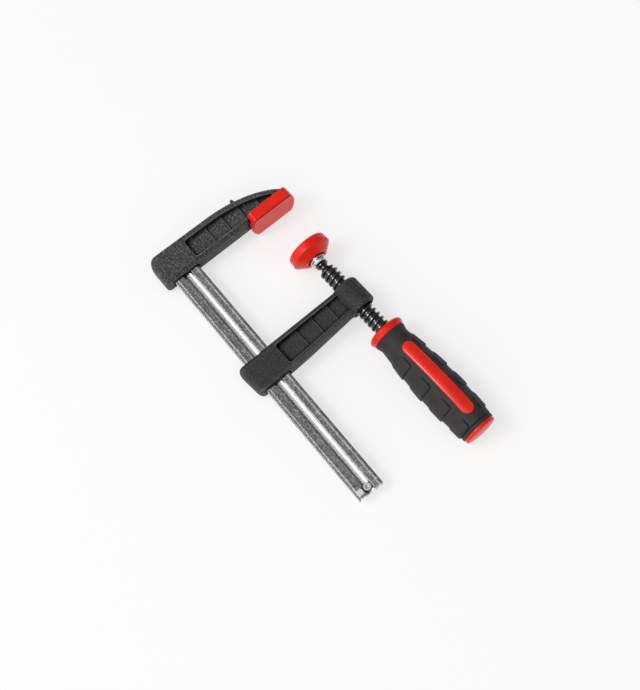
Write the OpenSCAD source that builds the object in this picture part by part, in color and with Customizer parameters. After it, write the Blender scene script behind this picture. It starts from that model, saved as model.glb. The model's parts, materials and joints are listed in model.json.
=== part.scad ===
// Bar clamp with a sliding arm: a grooved and toothed steel rail, a fixed cast arm at one end,
// and a cast arm that slides freely along the rail and carries the screw, its pad and its handle.
// The clamp lies flat. X runs along the rail from the fixed jaw towards the handle, Y from the
// rail towards the screw, Z up. The origin is on the fixed jaw's pressing face, on the throat line.

/* [Rail] */
// Width of the rail, teeth included
rail_w = 15; // [12:0.5:18]
// Thickness of the rail
rail_t = 5; // [4:0.5:6]
// Length of rail that stands clear of the fixed arm
rail_free_len = 149.3; // [140:0.1:300]
// Width of the groove in each face of the rail
groove_w = 5.2; // [4:0.1:6.5]
// Depth of each groove
groove_depth = 1.2; // [0.8:0.1:1.4]
// Radius of the groove's curved sides
groove_side_r = 2; // [1.8:0.1:2.2]
// Spacing of the locking teeth
tooth_pitch = 1.2; // [1:0.1:2]
// Depth of the locking teeth
tooth_depth = 0.6; // [0.3:0.1:0.8]
// Bevel along the rail's edges
rail_bevel = 0.45; // [0.25:0.1:0.75]

/* [Stop pin] */
// Diameter of the pin that keeps the sliding arm on the rail
pin_d = 4.1; // [3:0.1:5]
// Distance from the rail's free end to the pin's centre
pin_inset = 3.1; // [2.8:0.1:6]
// How far the pin stands out of each face of the rail
pin_proud = 0.5; // [0.3:0.1:1]
// Size of the square mark that is struck beside the pin
strike_size = 3.2; // [2:0.1:4]
// Depth of the struck mark
strike_depth = 0.35; // [0.2:0.05:0.6]

/* [Throat] */
// Distance from the rail's plain edge to the screw's axis
throat = 50.8; // [40:0.1:80]

/* [Castings] */
// Thickness of the fixed arm
arm_t = 12.6; // [12:0.1:15]
// Metal behind the rail's toothed edge
heel_wall = 5.2; // [4:0.1:8]
// How far the solid block reaches past the rail's plain edge, before the panels begin
block_reach = 1.6; // [1:0.1:4]
// Radius of the heel's corner towards the throat, seen from above
heel_corner_r = 2.6; // [1:0.1:4]
// Radius of the heel's back corner, seen from above
heel_back_r = 5; // [2:0.1:6]
// Rounding of both castings at their butts
butt_edge = 2.8; // [1:0.1:3]
// Rounding of the arms' other edges
arm_edge = 0.8; // [0.4:0.1:1]
// Width of the chamfer along each arm's throat side
chamfer_w = 2.35; // [1:0.05:3]
// Height of that chamfer
chamfer_h = 2; // [1:0.1:2.4]
// Draft of the mould, from the parting line to the faces
draft = 0.35; // [0.1:0.05:0.5]
// Thickness of the fixed arm's web at the low side of each step
web_t = 5.4; // [4:0.1:8]
// Height of the steps in the panels' floors
step_h = 1; // [0.5:0.1:1.5]
// Spacing of the steps
step_pitch = 10.2; // [8:0.1:12]
// Distance from the panel's start to the first step
first_step = 13.8; // [8:0.1:15]
// Radius of the panels' corners
panel_corner_r = 1.6; // [0.5:0.1:2]

/* [Fixed arm] */
// Width of the fixed arm at the rail
fixed_w = 17.6; // [16:0.1:20]
// How far the pressing face stands ahead of the arm's inner side
jaw_step = 3.1; // [3:0.1:5]
// How much the arm narrows from its heel to the bend
fixed_taper = 0.5; // [0:0.1:3]
// Distance from the throat line back to where the arm's back starts to curve
bend_back = 34; // [24:1:42]
// Half length of the oval that the back follows from there
oval_len = 50; // [48:1:80]
// Half width of that oval
oval_w = 25.5; // [12:0.5:40]
// Width of the flange along the arm's back
back_flange = 3.3; // [2:0.1:4]
// Width of the flange along the arm's inner side
inner_flange = 2.9; // [2.9:0.1:4]
// Metal left between the panel and the arm's tip
panel_margin = 5; // [3:0.5:8]
// Clearance of the rail in the fixed arm's slot
seat_gap = 0.1; // [0.05:0.05:0.3]
// Relief around the rail at the slot's mouth
mouth_relief = 0.7; // [0.3:0.1:1]
// Depth of the relief at the slot's mouth
mouth_depth = 1.2; // [0.5:0.1:2]
// Height of the cast nub on the arm's back
nub_h = 2.8; // [1:0.1:3]
// Distance from the throat line back to the nub
nub_back = 15.2; // [13:0.1:18]

/* [Jaw cap] */
// Width of the plastic cap across the throat
cap_w = 28; // [22:0.1:30]
// Height of the cap
cap_h = 18.9; // [17:0.1:22]
// Depth of the cap, from its back edge to the pressing face
cap_depth = 6.4; // [5.5:0.1:9]
// Wall of the cap's skirt
cap_wall = 1.5; // [1.2:0.1:2]
// Wall of the cap under its pressing face
cap_front = 2; // [1.5:0.1:2.8]
// How far the cap's middle lies from the throat line, towards the rail
cap_shift = 2.5; // [0:0.05:4]
// Radius of the cap's bowed ends, seen from the pressing side
cap_end_r = 18.5; // [14:0.5:30]
// Radius of the cap's corners, seen from the pressing side
cap_corner_r = 1.6; // [0.5:0.1:3]
// Rounding of the pressing face's rim
cap_edge = 0.6; // [0.3:0.1:1]
// Gap between the cap and the jaw head inside it
cap_gap = 0.1; // [0.05:0.05:0.2]

/* [Sliding arm] */
// Place of the sliding arm along the rail
slide_x = 64; // [60:0.1:120]
// Tilt of the sliding arm on the rail, taken up by the play of its slot
arm_cock = 2.2; // [0:0.01:3]
// Width of the sliding arm at the middle of the rail
slider_w = 17.7; // [15:0.1:20]
// Slant of the sliding arm's front side
front_slant = 1.2; // [0:0.1:3]
// Distance from the middle of the rail to where its back side starts to slant
back_straight = 22; // [12:1:30]
// Slant of its back side from there
back_slant = 2; // [0:0.1:3]
// Slant of its butt
butt_slant = 4; // [0:0.5:5]
// Thickness of the sliding arm at the rail
slider_t = 12.5; // [11.5:0.1:15]
// Thickness of the sliding arm at the boss
slider_tip_t = 9.7; // [8.5:0.1:11]
// Thickness of the web between its panels, at the low side of each step
slider_web_t = 5; // [3.5:0.1:7]
// Metal behind the rail's toothed edge in the sliding arm
slider_heel = 4.1; // [3:0.1:7]
// How far its solid block reaches past the rail's plain edge
slider_reach = 2.8; // [1:0.1:4]
// Width of the flange along its front side
slider_flange = 3; // [3:0.1:4]
// Width of the flange along its back side
slider_back_flange = 2.3; // [1.5:0.1:3]
// Clearance between the rail and the slot, on each side
slot_gap = 0.3; // [0.15:0.05:0.5]
// Diameter of the threaded boss
boss_d = 15.7; // [14.5:0.1:18]
// Length of the threaded boss
boss_len = 16.5; // [14:0.1:20]
// How far the boss's middle lies behind the middle of the arm at the rail
boss_shift = 0.3; // [0:0.1:4]
// Rounding of the boss's rims
boss_edge = 2; // [0.5:0.1:2.2]
// Countersink at each end of the boss's bore
boss_sink = 0.8; // [0.3:0.1:1]

/* [Screw] */
// Outside diameter of the thread
thread_d = 9.5; // [8:0.1:11]
// Lead of the thread
thread_pitch = 3; // [2:0.5:4]
// Running clearance of the thread's crest in the boss, on the radius
thread_clearance = 0.08; // [0.02:0.01:0.1]
// Bare thread between the boss and the neck
thread_ahead = 12.5; // [8:0.1:20]
// Bare thread between the boss and the handle
thread_behind = 15.6; // [10:0.1:30]
// Distance from the ball's centre to the first turn of thread
neck_len = 6.6; // [6:0.1:9]
// Diameter of the neck behind the ball
neck_d = 4.3; // [3.5:0.1:4.5]
// Diameter of the ball
ball_d = 6.6; // [6.2:0.1:7]
// Taper at the start of the thread
lead_in = 1.6; // [1:0.1:2]
// Diameter of the screw's plain tail in the handle
tail_d = 8; // [6:0.1:8.5]
// Length of the tail inside the handle
tail_len = 38; // [20:1:50]

/* [Pad] */
// Tilt of the pad on its ball
pad_tilt = -2; // [-6:0.5:6]
// Diameter of the red pad cap at its pressing face
pad_face_d = 22.8; // [20:0.1:24]
// Diameter of the pad cap at the back of its rim
pad_rim_d = 23.5; // [22.5:0.1:25]
// Length of the pad cap's rim
pad_rim_len = 5.1; // [4.8:0.1:6]
// Distance from the ball's centre to the pressing face
pad_reach = 9.8; // [9.6:0.1:13]
// Diameter of the pad cap's back end
pad_back_d = 13.8; // [13:0.1:16]
// How far the cap's back end lies ahead of the ball's centre
pad_back_at = 1.2; // [0:0.1:1.5]
// Room between the socket and the cap's back opening, on the radius
pad_room = 0.7; // [0.5:0.1:1.5]
// Wall under the pressing face
pad_wall = 2.2; // [1.6:0.1:3]
// Thickness of the steel disc inside the cap
disc_t = 2; // [1.5:0.1:2.4]
// Diameter of the steel disc inside the cap
disc_d = 18.4; // [16:0.1:19]
// Outside diameter of the steel socket
socket_d = 9.2; // [8.8:0.1:9.4]
// How far the socket's lip reaches behind the ball's centre
lip_reach = 2.3; // [2.1:0.1:2.6]
// Diameter of the opening in the socket's lip
lip_d = 5.6; // [5.4:0.1:5.8]
// Running clearance of the ball in the socket, on the radius
ball_clearance = 0.08; // [0.02:0.01:0.1]
// Gap between the steel socket and the cap that grips it
socket_gap = 0.1; // [0.05:0.05:0.2]
// Gap between the socket's lip and the ring on the neck, which lets the pad tilt
ring_gap = 0.9; // [0.8:0.05:1.2]
// Thickness of the ring on the neck
neck_ring_t = 1.2; // [0.8:0.1:1.4]
// Diameter of the ring on the neck, at its front
neck_ring_d = 7; // [5.6:0.1:7]

/* [Handle] */
// Length of the handle, from its collar to the start of its end cap
handle_len = 70; // [62:0.1:110]
// Diameter of the red collar
collar_d = 20.7; // [18:0.1:23]
// Length of the red collar
collar_len = 4.2; // [3:0.1:6]
// Diameter of the grip where it leaves the collar
collar_root_d = 18.8; // [17.2:0.1:19]
// Diameter of the grip at its neck
grip_neck_d = 17; // [16.4:0.1:17.2]
// Distance from the collar's front to the neck
neck_at = 8.2; // [7:0.1:10]
// Diameter of the grip at its belly
grip_belly_d = 21.9; // [20:0.1:26]
// Distance from the collar's front to the belly
belly_at = 43; // [36:0.1:50]
// Diameter of the grip's end
grip_end_d = 19.2; // [18.8:0.1:22]
// Diameter of the red core under the grip
core_d = 14; // [12:0.1:15]
// Gap between the core and the grip moulded round it
mould_gap = 0.1; // [0.05:0.05:0.2]
// Length of each red inlay
inlay_len = 49.2; // [40:0.1:50]
// Width of each red inlay
inlay_w = 7.5; // [6:0.1:9]
// Distance from the collar's front to the inlay's start
inlay_at = 13.6; // [13:0.1:16]
// How far the inlays stand over the grip
inlay_proud = 0.35; // [0.1:0.05:0.6]
// How far the raised blocks stand over the grip
block_h = 0.75; // [0.3:0.05:1]
// Length of each raised block
block_len = 10; // [8:0.1:12]
// Spacing of the raised blocks
block_pitch = 14.5; // [13:0.1:16]
// Number of raised blocks along each side
block_count = 4; // [3:1:4]
// Start of the first block on the side towards the rail
rail_side_start = 15.4; // [13:0.1:16]
// Start of the first block on the far side
far_side_start = 10.4; // [9:0.1:12]
// How far a block's front corners lie behind its front edge
block_slant = 2.3; // [0:0.1:3.5]
// Half the angle from block to block over an inlay
block_ang = 36; // [34:1:50]
// Turn of the handle about the screw's axis
handle_turn = -7.5; // [-90:0.5:90]
// Distance from the handle's end to the ring cut near it
ring_back = 2.1; // [1.5:0.1:3]
// Depth of the ring
ring_depth = 0.35; // [0.2:0.05:0.6]
// Width of the ring
ring_w = 0.6; // [0.4:0.1:1]
// Diameter of the red end cap
end_cap_d = 18.4; // [17:0.1:18.8]
// Straight side of the end cap
end_cap_side = 1.6; // [0.5:0.1:2.5]
// Crown of the end cap
end_cap_crown = 1.1; // [0.8:0.1:2.5]
// Diameter of the end cap's stem
stem_d = 8; // [6:0.1:9]
// Length of the end cap's stem
stem_len = 7; // [5:0.1:9]

/* [Hidden] */
$fn = 64;
eps = 0.01;

plate_fn = 32;
through = 60;
steel = [0.74, 0.76, 0.78];
cast_black = [0.13, 0.13, 0.14];
screw_black = [0.1, 0.1, 0.11];
plastic_red = [0.85, 0.09, 0.06];
grip_black = [0.17, 0.17, 0.17];

// The rail
rail_y = -throat - rail_w / 2;
rail_end_x = -jaw_step + rail_free_len;
fixed_back_x = -jaw_step - fixed_w;
rail_start_x = fixed_back_x + 0.4;
pin_x = rail_end_x - pin_inset;
pin_hole_gap = 0.04;
tooth_start_x = -jaw_step - 2 * tooth_pitch;
tooth_count = floor((rail_end_x - tooth_start_x) / tooth_pitch);
groove_rise = groove_side_r - groove_depth;
groove_flat = groove_w - 2 * sqrt(pow(groove_side_r, 2) - pow(groove_rise, 2));

// The castings
heel_y = -throat - rail_w - heel_wall;
panel_y = -throat + block_reach;
cap_bow = cap_end_r - sqrt(pow(cap_end_r, 2) - pow(arm_t / 2, 2));
tip_y = cap_w / 2 - cap_shift - cap_wall - 2 * cap_gap - cap_bow;
bend_y = -bend_back;
heel_back_x = fixed_back_x;
bend_x = heel_back_x + fixed_taper;
curve_steps = 14;
nub_w = 1.1;
nub_foot = 3.4;
nub_t = 5;

// The sliding arm, in its own frame: x along the screw, y from the rail's middle to the screw
screw_y = throat + rail_w / 2;
heel_end = -rail_w / 2 - slot_gap - slider_heel;
slot_h = rail_w / cos(arm_cock) + slider_w * tan(arm_cock) + 2 * slot_gap;
slot_t = rail_t + 2 * slot_gap;
slider_panel_start = rail_w / 2 + slider_reach;
slider_panel_end = screw_y - boss_d / 4;

// Stations along the screw, from the middle of the boss
thread_front = -boss_len / 2 - thread_ahead;
ball_x = thread_front - neck_len;
handle_x = boss_len / 2 + thread_behind;
neck_ring_x = ball_x + lip_reach + ring_gap;

// Full circles round a line along X
module revolve_x() {
  rotate([0, 90, 0]) rotate_extrude() children();
}

// A profile in Y and Z, drawn out along X
module extrude_x(length) {
  rotate([90, 0, 90]) linear_extrude(length) children();
}

module at_slider() {
  translate([slide_x, rail_y, 0]) rotate([0, 0, arm_cock]) children();
}

module at_screw() {
  at_slider() translate([boss_shift, screw_y, 0]) children();
}

module at_pad() {
  at_screw() translate([ball_x, 0, 0]) rotate([0, 0, pad_tilt]) children();
}

module at_handle() {
  at_screw() translate([handle_x, 0, 0]) rotate([handle_turn, 0, 0]) children();
}

// A cast plate: drafted from its parting line and rounded at its faces
module cast_plate(t, edge) {
  hull() {
    linear_extrude(2 * eps, center = true) children();
    for (a = [0, 30, 60, 90])
      linear_extrude(t - 2 * edge * (1 - sin(a)), center = true)
        offset(delta = -draft - edge * (1 - cos(a))) children();
  }
}

// Side view of a plate that is well rounded at its butt
module butt_side(y, t) {
  r = butt_edge;
  translate([y + r, -t / 2]) square([2 * through, t]);
  translate([y, r - t / 2]) square([2 * through, t - 2 * r]);
  for (s = [-1, 1]) translate([y + r, s * (t / 2 - r)]) circle(r, $fn = plate_fn);
}

// ---------------------------------------------------------------- rail

module groove_profile() {
  for (s = [-1, 1]) translate([s * groove_flat / 2, groove_rise]) circle(groove_side_r);
  translate([-groove_flat / 2, -groove_depth]) square([groove_flat, 2 * groove_depth]);
}

module rail_profile() {
  w = rail_w / 2;
  t = rail_t / 2;
  b = rail_bevel;
  difference() {
    polygon([[-w, b - t], [b - w, -t], [w - b, -t], [w, b - t],
             [w, t - b], [w - b, t], [b - w, t], [-w, t - b]]);
    for (m = [0, 1]) mirror([0, m]) translate([0, t]) groove_profile();
  }
}

// Plan of the rail with its toothed edge
module rail_plan() {
  y_tip = rail_y - rail_w / 2;
  teeth = [for (i = [0 : tooth_count - 1], k = [0, 1])
             [tooth_start_x + (i + k / 2) * tooth_pitch, y_tip + (k == 0 ? 0 : tooth_depth)]];
  polygon(concat([[rail_start_x, -throat + eps], [rail_start_x, y_tip]], teeth,
                 [[rail_end_x, y_tip], [rail_end_x, -throat + eps]]));
}

module rail() {
  color(steel) difference() {
    intersection() {
      translate([rail_start_x - 1, rail_y, 0])
        extrude_x(rail_end_x - rail_start_x + 2) rail_profile();
      translate([0, 0, -rail_t]) linear_extrude(2 * rail_t) rail_plan();
    }
    translate([pin_x, rail_y, -rail_t]) cylinder(d = pin_d + 2 * pin_hole_gap, h = 2 * rail_t);
    translate([pin_x, rail_y - (rail_w / 2 - rail_bevel + groove_w / 2) / 2, rail_t / 2])
      cube([strike_size, strike_size, 2 * strike_depth], center = true);
  }
}

module stop_pin() {
  h = rail_t + 2 * pin_proud;
  dimple = pin_d * 0.3;
  color(steel) translate([pin_x, rail_y, 0]) difference() {
    cylinder(d = pin_d, h = h, center = true);
    for (m = [0, 1]) mirror([0, 0, m])
      translate([0, 0, h / 2 - 0.5]) cylinder(r1 = dimple * 0.5, r2 = dimple, h = 0.5 + eps);
  }
}

// ---------------------------------------------------------------- fixed arm

// Back of the fixed arm: straight from the heel, then curving in towards the tip
function back_x(y) =
  y < bend_y ? heel_back_x + fixed_taper * (y - heel_y) / (bend_y - heel_y)
             : bend_x + oval_w * (1 - sqrt(1 - pow(min((y - bend_y) / oval_len, 0.99), 2)));

// The arm's outline, or the part of it from y0 to y1 drawn in by the two flanges
module fixed_outline(y0, y1, back_in = 0, inner_in = 0) {
  step = (y1 - max(y0, bend_y)) / curve_steps;
  ys = concat([y0], [for (i = [0 : curve_steps]) max(y0, bend_y) + i * step]);
  polygon(concat([for (y = ys) [back_x(y) + back_in, y]],
                 [[-jaw_step - inner_in, y1], [-jaw_step - inner_in, y0]]));
}

// The whole arm from its heel to its tip
module fixed_plan() {
  hull() {
    fixed_outline(heel_y + heel_back_r, tip_y);
    translate([heel_back_x + heel_back_r, heel_y + heel_back_r]) circle(heel_back_r, $fn = plate_fn);
    translate([-jaw_step - heel_corner_r, heel_y + heel_corner_r]) circle(heel_corner_r, $fn = plate_fn);
  }
}

// Room above a panel's floor, which climbs towards the tip and drops again at each step
module stepped_room(start, end, low) {
  count = ceil((end - start - first_step) / step_pitch);
  steps = [for (i = [0 : count - 1], k = [0, 1])
             [start + first_step + i * step_pitch, low + (k == 0 ? step_h : 0)]];
  last = start + first_step + count * step_pitch;
  translate([-through, 0, 0]) extrude_x(2 * through)
    polygon(concat([[start - 1, low], [start, low]], steps,
                   [[last, low + step_h], [last, through], [start - 1, through]]));
}

module fixed_panel() {
  intersection() {
    linear_extrude(through) offset(r = panel_corner_r) offset(delta = -panel_corner_r)
      fixed_outline(panel_y, tip_y - panel_margin, back_flange, inner_flange);
    stepped_room(panel_y, tip_y - panel_margin, web_t / 2);
  }
}

// Chamfer along the throat side
module throat_chamfer() {
  x = -jaw_step - draft - chamfer_w;
  top = arm_t / 2;
  reach = chamfer_w + 1;
  translate([0, heel_y - 1, 0]) rotate([90, 0, 180]) linear_extrude(tip_y - heel_y + 2)
    polygon([[-x, top], [-x - reach, top - chamfer_h * reach / chamfer_w],
             [-x - reach, top + 1], [-x, top + 1]]);
}

// The cap's outline seen from the pressing side, drawn in by a margin: flat along the arm's
// faces and bowed at both ends
module cap_outline(inset = 0) {
  r = max(cap_corner_r - inset, 0.3);
  offset(r = r) offset(delta = -r) intersection() {
    square([cap_w - 2 * inset, cap_h - 2 * inset], center = true);
    translate([cap_w / 2 - cap_end_r, 0]) circle(cap_end_r - inset, $fn = 96);
    translate([cap_end_r - cap_w / 2, 0]) circle(cap_end_r - inset, $fn = 96);
  }
}

module jaw_head() {
  translate([-cap_depth, -cap_shift, 0])
    extrude_x(cap_depth - cap_front - cap_gap) cap_outline(cap_wall + cap_gap);
}

module nub() {
  foot = back_x(-nub_back) + 1;
  y = -nub_back;
  linear_extrude(nub_t, center = true)
    polygon([[foot, y - nub_foot], [foot - nub_h - 1, y - nub_w / 2],
             [foot - nub_h - 1, y + nub_w / 2], [foot, y + nub_foot / 2]]);
}

module fixed_arm() {
  slot_w = rail_w + 2 * seat_gap;
  slot_z = rail_t + 2 * seat_gap;
  color(cast_black) difference() {
    union() {
      difference() {
        intersection() {
          cast_plate(arm_t, arm_edge) fixed_plan();
          translate([heel_back_x - 1, 0, 0]) extrude_x(fixed_w + 2) butt_side(heel_y, arm_t);
        }
        for (m = [0, 1]) mirror([0, 0, m]) throat_chamfer();
      }
      jaw_head();
      nub();
    }
    for (m = [0, 1]) mirror([0, 0, m]) fixed_panel();
    translate([fixed_back_x - 1, rail_y - slot_w / 2, -slot_z / 2]) cube([fixed_w + 2, slot_w, slot_z]);
    translate([-jaw_step - mouth_depth, rail_y - slot_w / 2 - mouth_relief / 2, -slot_z / 2 - mouth_relief])
      cube([mouth_depth + 1, slot_w + mouth_relief, slot_z + 2 * mouth_relief]);
  }
}

module jaw_cap() {
  color(plastic_red) translate([-cap_depth, -cap_shift, 0]) difference() {
    hull() {
      extrude_x(cap_depth - cap_edge) offset(r = cap_edge) cap_outline(cap_edge);
      extrude_x(cap_depth) offset(r = cap_edge / 2) cap_outline(1.5 * cap_edge);
    }
    translate([-1, 0, 0]) extrude_x(cap_depth - cap_front + 1) cap_outline(cap_wall);
    // The arm comes in through the wall nearest the rail
    translate([-1, -cap_w / 2 - 1, -arm_t / 2 - cap_gap])
      cube([cap_depth - jaw_step + cap_gap + 1, cap_wall + cap_bow + 2, arm_t + 2 * cap_gap]);
  }
}

// ---------------------------------------------------------------- sliding arm

function slider_front(y) = -slider_w / 2 + y * tan(front_slant);
function slider_back(y) = slider_w / 2 - max(0, y - back_straight) * tan(back_slant);
function slider_t_at(y) =
  slider_t - max(0, y - slider_panel_start) * (slider_t - slider_tip_t) / (screw_y - slider_panel_start);

// Cross section of the arm at y, drafted from the parting line, chamfered on its front side and
// rounded elsewhere; inset draws it in for the rounding of the butt
module slider_section(y, inset = 0, slant = 0) {
  x0 = slider_front(y) + inset;
  x1 = slider_back(y) - inset;
  t = slider_t_at(y) / 2 - inset;
  translate([0, y + eps, 0]) rotate([90, 0, slant]) linear_extrude(2 * eps)
    offset(r = arm_edge, $fn = plate_fn) offset(delta = -arm_edge)
      polygon([[x0, 0], [x0 + draft, t - chamfer_h], [x0 + draft + chamfer_w, t], [x1 - draft, t], [x1, 0],
               [x1 - draft, -t], [x0 + draft + chamfer_w, -t], [x0 + draft, chamfer_h - t]]);
}

module slider_body() {
  hull() {
    for (a = [0, 30, 60, 90])
      slider_section(heel_end + butt_edge * (1 - cos(a)), butt_edge * (1 - sin(a)), butt_slant);
    for (y = [slider_panel_start, back_straight, screw_y]) slider_section(y);
  }
}

module slider_panel() {
  ys = [slider_panel_start, back_straight, slider_panel_end];
  intersection() {
    linear_extrude(through) offset(r = panel_corner_r) offset(delta = -panel_corner_r)
      polygon(concat([for (y = ys) [slider_front(y) + slider_flange, y]],
                     [for (i = [2 : -1 : 0]) [slider_back(ys[i]) - slider_back_flange, ys[i]]]));
    stepped_room(slider_panel_start, slider_panel_end, slider_web_t / 2);
  }
}

module boss() {
  r = boss_d / 2;
  h = boss_len / 2;
  revolve_x() union() {
    translate([0, -h]) square([r - boss_edge, boss_len]);
    translate([0, boss_edge - h]) square([r, boss_len - 2 * boss_edge]);
    for (s = [-1, 1]) translate([r - boss_edge, s * (h - boss_edge)]) circle(boss_edge);
  }
}

module sliding_arm() {
  bore_r = thread_d / 2 + thread_clearance;
  color(cast_black) at_slider() difference() {
    union() {
      difference() {
        slider_body();
        for (m = [0, 1]) mirror([0, 0, m]) slider_panel();
      }
      translate([boss_shift, screw_y, 0]) boss();
    }
    cube([2 * slider_w, slot_h, slot_t], center = true);
    translate([boss_shift - boss_len, screw_y, 0]) rotate([0, 90, 0]) cylinder(r = bore_r, h = 2 * boss_len);
    for (s = [0, 1]) translate([boss_shift, screw_y, 0]) mirror([s, 0, 0])
      translate([boss_len / 2 - boss_sink, 0, 0]) rotate([0, 90, 0])
        cylinder(r1 = bore_r, r2 = bore_r + boss_sink + eps, h = boss_sink + eps);
  }
}

// ---------------------------------------------------------------- screw and pad

module spindle() {
  color(screw_black) at_screw() {
    translate([ball_x, 0, 0]) rotate([0, 90, 0]) sphere(d = ball_d);
    revolve_x() polygon([[0, ball_x], [neck_d / 2, ball_x], [neck_d / 2, thread_front - lead_in],
      [thread_d / 2 - 1, thread_front], [thread_d / 2, thread_front + thread_pitch / 3],
      [thread_d / 2, handle_x + collar_len], [tail_d / 2, handle_x + collar_len],
      [tail_d / 2, handle_x + tail_len - 1], [tail_d / 2 - 1, handle_x + tail_len],
      [0, handle_x + tail_len]]);
  }
}

// The ring that stays behind the socket; it tapers down to the neck
module neck_ring() {
  inner_r = neck_d / 2 + ball_clearance;
  outer_r = neck_ring_d / 2;
  color(screw_black) at_screw() translate([neck_ring_x, 0, 0]) revolve_x()
    polygon([[inner_r, 0], [outer_r, 0], [outer_r, neck_ring_t / 3],
             [inner_r + 0.4, neck_ring_t], [inner_r, neck_ring_t]]);
}

module pad_socket() {
  cup_r = ball_d / 2 + ball_clearance;
  back = -pad_reach + pad_wall;
  color(steel) at_pad() difference() {
    revolve_x() polygon([[0, back], [disc_d / 2, back], [disc_d / 2, back + disc_t],
      [socket_d / 2, back + disc_t + 0.8], [socket_d / 2, lip_reach - 1.2],
      [socket_d / 2 - 0.7, lip_reach], [0, lip_reach]]);
    rotate([0, 90, 0]) sphere(r = cup_r);
    rotate([0, 90, 0]) cylinder(d = lip_d, h = ball_d);
  }
}

module pad_cap() {
  face = -pad_reach;
  rim = face + pad_rim_len;
  back_end = -pad_back_at;
  seat = face + pad_wall - socket_gap;
  disc_end = face + pad_wall + disc_t + socket_gap;
  bore = socket_d / 2 + pad_room;
  color(plastic_red) at_pad() revolve_x() difference() {
    polygon([[0, face], [pad_face_d / 2 - 0.5, face], [pad_face_d / 2, face + 0.5],
      [pad_rim_d / 2, rim - 0.5], [pad_rim_d / 2 - 0.4, rim],
      [pad_back_d / 2 + 0.5, back_end - 0.5], [pad_back_d / 2, back_end], [0, back_end]]);
    polygon([[0, seat], [disc_d / 2 + socket_gap, seat], [disc_d / 2 + socket_gap, disc_end],
      [bore, disc_end + 0.6], [bore, back_end + 1], [0, back_end + 1]]);
  }
}

// ---------------------------------------------------------------- handle

// Radius of the grip at x: a dip behind the collar, a long belly, and a shorter fall to the end
function grip_r(x) =
  x < neck_at ? (grip_neck_d + (collar_root_d - grip_neck_d)
                 * (1 + cos(180 * (x - collar_len) / (neck_at - collar_len))) / 2) / 2
  : x < belly_at ? (grip_neck_d + (grip_belly_d - grip_neck_d)
                    * sin(90 * (x - neck_at) / (belly_at - neck_at))) / 2
  : (grip_belly_d - (grip_belly_d - grip_end_d)
     * (1 - cos(90 * (x - belly_at) / (handle_len - belly_at)))) / 2;

// The grip's outside, raised by a margin, from x0 to x1
module grip_profile(x0, x1, margin = 0) {
  steps = 18;
  polygon(concat([[0, x0]], [for (i = [0 : steps]) let (x = x0 + (x1 - x0) * i / steps)
                               [grip_r(x) + margin, x]], [[0, x1]]));
}

// Long rounded slot seen from above, from the handle's axis up
module inlay_slot(gap = 0) {
  r = inlay_w / 2 + gap;
  linear_extrude(through) {
    for (x = [inlay_at + inlay_w / 2, inlay_at + inlay_len - inlay_w / 2])
      translate([x, 0]) circle(r);
    translate([inlay_at + inlay_w / 2, -r]) square([inlay_len - inlay_w, 2 * r]);
  }
}

module handle_core() {
  front_r = collar_d / 2;
  stem_r = stem_d / 2 + mould_gap;
  color(plastic_red) at_handle() difference() {
    union() {
      revolve_x() polygon([[0, 0], [front_r - 1.2, 0], [front_r - 0.3, 0.5], [front_r, 1.5],
        [collar_root_d / 2, collar_len], [0, collar_len]]);
      revolve_x() square([core_d / 2, handle_len - eps]);
      intersection() {
        revolve_x() grip_profile(inlay_at - 1, inlay_at + inlay_len + 1, inlay_proud);
        for (m = [0, 1]) mirror([0, 0, m]) inlay_slot();
      }
    }
    translate([-1, 0, 0]) rotate([0, 90, 0]) cylinder(d = thread_d + 2 * mould_gap, h = collar_len + 1.2);
    rotate([0, 90, 0]) cylinder(d = tail_d + 2 * mould_gap, h = tail_len + 0.4);
    translate([handle_len - stem_len - 0.3, 0, 0]) rotate([0, 90, 0])
      cylinder(r = stem_r, h = stem_len + 1);
  }
}

// Raised blocks down one side: side is -1 towards the rail and 1 away from it
module side_blocks(first, side) {
  for (i = [0 : block_count - 1]) {
    x0 = first + i * block_pitch;
    x1 = min(x0 + block_len, handle_len - ring_back - 0.8);
    z0 = grip_r(x0 + block_slant) * cos(block_ang);
    z1 = grip_r(x1) * cos(block_ang);
    translate([0, side * through / 2, 0]) rotate([90, 0, 0])
      linear_extrude(through, center = true)
        polygon([[x0, -z0 / 2], [x0 + block_slant, -z0], [x1, -z1],
                 [x1, z1], [x0 + block_slant, z0], [x0, z0 / 2]]);
  }
}

module handle_grip() {
  color(grip_black) at_handle() difference() {
    union() {
      revolve_x() grip_profile(collar_len, handle_len);
      intersection() {
        revolve_x() grip_profile(far_side_start - 1, handle_len - 1, block_h);
        union() {
          side_blocks(rail_side_start, -1);
          side_blocks(far_side_start, 1);
        }
      }
    }
    translate([-1, 0, 0]) rotate([0, 90, 0]) cylinder(d = core_d + 2 * mould_gap, h = handle_len + 2);
    for (m = [0, 1]) mirror([0, 0, m]) inlay_slot(mould_gap);
    revolve_x() translate([grip_end_d / 2 + 0.6, handle_len - ring_back])
      square([2 * ring_depth + 1.2, ring_w], center = true);
  }
}

module handle_end_cap() {
  r = end_cap_d / 2;
  color(plastic_red) at_handle() revolve_x() {
    translate([0, handle_len - stem_len]) square([stem_d / 2, stem_len + eps]);
    translate([0, handle_len]) polygon(concat([[0, 0], [r, 0], [r, end_cap_side * 0.8]],
      [for (a = [15 : 15 : 90]) [r * cos(a), end_cap_side + end_cap_crown * sin(a)]]));
  }
}

rail();
stop_pin();
fixed_arm();
jaw_cap();
sliding_arm();
spindle();
neck_ring();
pad_socket();
pad_cap();
handle_core();
handle_grip();
handle_end_cap();
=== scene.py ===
import json
import math

import bmesh
import bpy
from mathutils import Matrix, Vector


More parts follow.
